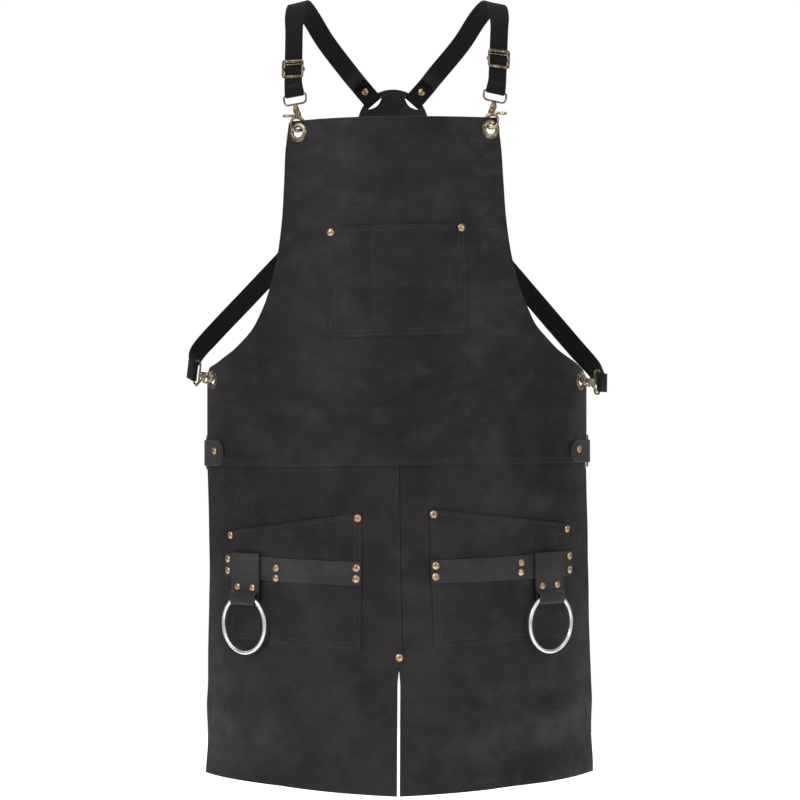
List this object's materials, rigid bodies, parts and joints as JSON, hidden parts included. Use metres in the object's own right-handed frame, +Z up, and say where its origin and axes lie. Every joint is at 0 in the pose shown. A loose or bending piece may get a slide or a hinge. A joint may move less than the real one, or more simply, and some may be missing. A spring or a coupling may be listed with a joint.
{
  "type": "work apron",
  "caption": "Split-leg leather work apron in its worn shape, with pockets, riveted tool bands, hanging tool rings and cross-back webbing on snap hooks.",
  "frame": {"origin": "the middle point between the tops of the two shoulder straps, where they rest on whatever carries the apron", "axes": "+Z up; -Y is the way the wearer faces, so the front of the apron faces -Y; +X is to the right of someone who looks at the front"},
  "size_m": [0.5643, 0.2453, 1.0281],
  "materials": {
    "leather": "black waxed grain leather, satin",
    "strap_leather": "black belt leather, smoother and a little greyer than the panels",
    "webbing": "black ribbed polyester webbing, matte",
    "antique_brass": "antique brass plating, dark in the hollows",
    "rivet_brass": "aged copper-brass, satin",
    "steel_ring": "bright nickel-plated steel wire"
  },
  "bodies": {
    "apron": {"leg_panel_left": "leather", "leg_panel_right": "leather", "chest_pocket": "leather", "hip_pocket_left": "leather", "hip_pocket_right": "leather", "tool_band_left": "strap_leather", "tool_band_right": "strap_leather", "ring_hanger_left": "strap_leather", "ring_hanger_right": "strap_leather", "side_tab_left": "strap_leather", "side_tab_right": "strap_leather", "eyelet_top_left": "antique_brass", "bail_top_left": "antique_brass", "eyelet_top_right": "antique_brass", "bail_top_right": "antique_brass", "eyelet_hip_left": "antique_brass", "bail_hip_left": "antique_brass", "eyelet_hip_right": "antique_brass", "bail_hip_right": "antique_brass", "bib_panel": "leather", "shoulder_strap_left": "webbing", "shoulder_strap_right": "webbing", "hip_strap_left": "webbing", "hip_strap_right": "webbing", "back_patch": "leather", "rivet_chest_left": "rivet_brass", "rivet_chest_right": "rivet_brass", "rivet_pocket_left_inner": "rivet_brass", "rivet_pocket_left_outer": "rivet_brass", "rivet_pocket_right_inner": "rivet_brass", "rivet_pocket_right_outer": "rivet_brass", "rivet_band_left_inner": "rivet_brass", "rivet_band_left_middle": "rivet_brass", "rivet_band_right_inner": "rivet_brass", "rivet_band_right_middle": "rivet_brass", "rivet_slit_top": "rivet_brass", "rivet_hanger_left_inner": "rivet_brass", "rivet_hanger_left_outer": "rivet_brass", "rivet_hanger_right_inner": "rivet_brass", "rivet_hanger_right_outer": "rivet_brass", "rivet_tab_left": "rivet_brass", "rivet_tab_right": "rivet_brass", "rivet_patch_left": "rivet_brass", "rivet_patch_right": "rivet_brass"},
    "hook_top_left": {"snap_hook_top_left": "antique_brass"},
    "gate_top_left": {"hook_gate_top_left": "antique_brass"},
    "hook_top_right": {"snap_hook_top_right": "antique_brass"},
    "gate_top_right": {"hook_gate_top_right": "antique_brass"},
    "hook_hip_left": {"snap_hook_hip_left": "antique_brass"},
    "gate_hip_left": {"hook_gate_hip_left": "antique_brass"},
    "hook_hip_right": {"snap_hook_hip_right": "antique_brass"},
    "gate_hip_right": {"hook_gate_hip_right": "antique_brass"},
    "slider_left": {"strap_slider_left": "antique_brass"},
    "loop_left": {"ring_fold_left": "strap_leather"},
    "ring_left": {"tool_ring_left": "steel_ring"},
    "side_ring_left": {"side_ring_left": "antique_brass"},
    "slider_right": {"strap_slider_right": "antique_brass"},
    "loop_right": {"ring_fold_right": "strap_leather"},
    "ring_right": {"tool_ring_right": "steel_ring"},
    "side_ring_right": {"side_ring_right": "antique_brass"}
  },
  "joints": [
    {"name": "hook_turn_top_left", "type": "hinge", "parent": "apron", "child": "hook_top_left", "pos_m": [-0.12794, -0.05825, -0.16316], "axis": [-0.0946, 0.0444, 0.9945], "range_deg": [-2, 20]},
    {"name": "hook_gate_top_left", "type": "hinge", "parent": "hook_top_left", "child": "gate_top_left", "pos_m": [-0.13289, -0.05921, -0.15273], "axis": [0.3366, -0.9387, 0.0739], "range_deg": [0, 15], "stiffness_Nm_per_rad": 0.02},
    {"name": "hook_turn_top_right", "type": "hinge", "parent": "apron", "child": "hook_top_right", "pos_m": [0.12149, -0.06121, -0.15971], "axis": [0.1275, 0.0559, 0.9903], "range_deg": [-20, 2]},
    {"name": "hook_gate_top_right", "type": "hinge", "parent": "hook_top_right", "child": "gate_top_right", "pos_m": [0.12675, -0.06215, -0.14943], "axis": [0.3572, 0.9288, -0.0984], "range_deg": [0, 15], "stiffness_Nm_per_rad": 0.02},
    {"name": "hook_turn_hip_left", "type": "hinge", "parent": "apron", "child": "hook_hip_left", "pos_m": [-0.25119, 0.04947, -0.48805], "axis": [-0.558, 0.7988, 0.225], "range_deg": [-2, 20]},
    {"name": "hook_gate_hip_left", "type": "hinge", "parent": "hook_hip_left", "child": "gate_hip_left", "pos_m": [-0.26004, 0.05694, -0.48851], "axis": [-0.4886, -0.5354, 0.689], "range_deg": [0, 15], "stiffness_Nm_per_rad": 0.02},
    {"name": "hook_turn_hip_right", "type": "hinge", "parent": "apron", "child": "hook_hip_right", "pos_m": [0.25042, 0.04827, -0.49238], "axis": [0.577, 0.816, -0.0349], "range_deg": [-20, 2]},
    {"name": "hook_gate_hip_right", "type": "hinge", "parent": "hook_hip_right", "child": "gate_hip_right", "pos_m": [0.25902, 0.05529, -0.49573], "axis": [-0.5916, 0.3881, -0.7067], "range_deg": [0, 15], "stiffness_Nm_per_rad": 0.02},
    {"name": "slider_left", "type": "slide", "parent": "apron", "child": "slider_left", "axis": [0.0158, -0.0074, 0.9998], "range_m": [-0.01, 0.03]},
    {"name": "ring_swing_left", "type": "hinge", "parent": "apron", "child": "loop_left", "pos_m": [-0.19715, -0.02206, -0.766], "axis": [-0.7648, 0.6442, 0], "range_deg": [0, 50]},
    {"name": "ring_turn_left", "type": "hinge", "parent": "loop_left", "child": "ring_left", "pos_m": [-0.199, -0.02426, -0.809], "axis": [-0.6442, -0.7648, 0], "continuous": true},
    {"name": "side_ring_swing_left", "type": "hinge", "parent": "apron", "child": "side_ring_left", "pos_m": [-0.25447, 0.055, -0.58825], "axis": [0, 0, 1], "range_deg": [0, 80]},
    {"name": "slider_right", "type": "slide", "parent": "apron", "child": "slider_right", "axis": [0.0399, 0.0175, 0.999], "range_m": [-0.01, 0.03]},
    {"name": "ring_swing_right", "type": "hinge", "parent": "apron", "child": "loop_right", "pos_m": [0.19793, -0.0214, -0.7647], "axis": [-0.7627, -0.6468, 0], "range_deg": [0, 50]},
    {"name": "ring_turn_right", "type": "hinge", "parent": "loop_right", "child": "ring_right", "pos_m": [0.19978, -0.0236, -0.8075], "axis": [0.6468, -0.7627, 0], "continuous": true},
    {"name": "side_ring_swing_right", "type": "hinge", "parent": "apron", "child": "side_ring_right", "pos_m": [0.25468, 0.05534, -0.5855], "axis": [0, 0, -1], "range_deg": [0, 80]}
  ]
}
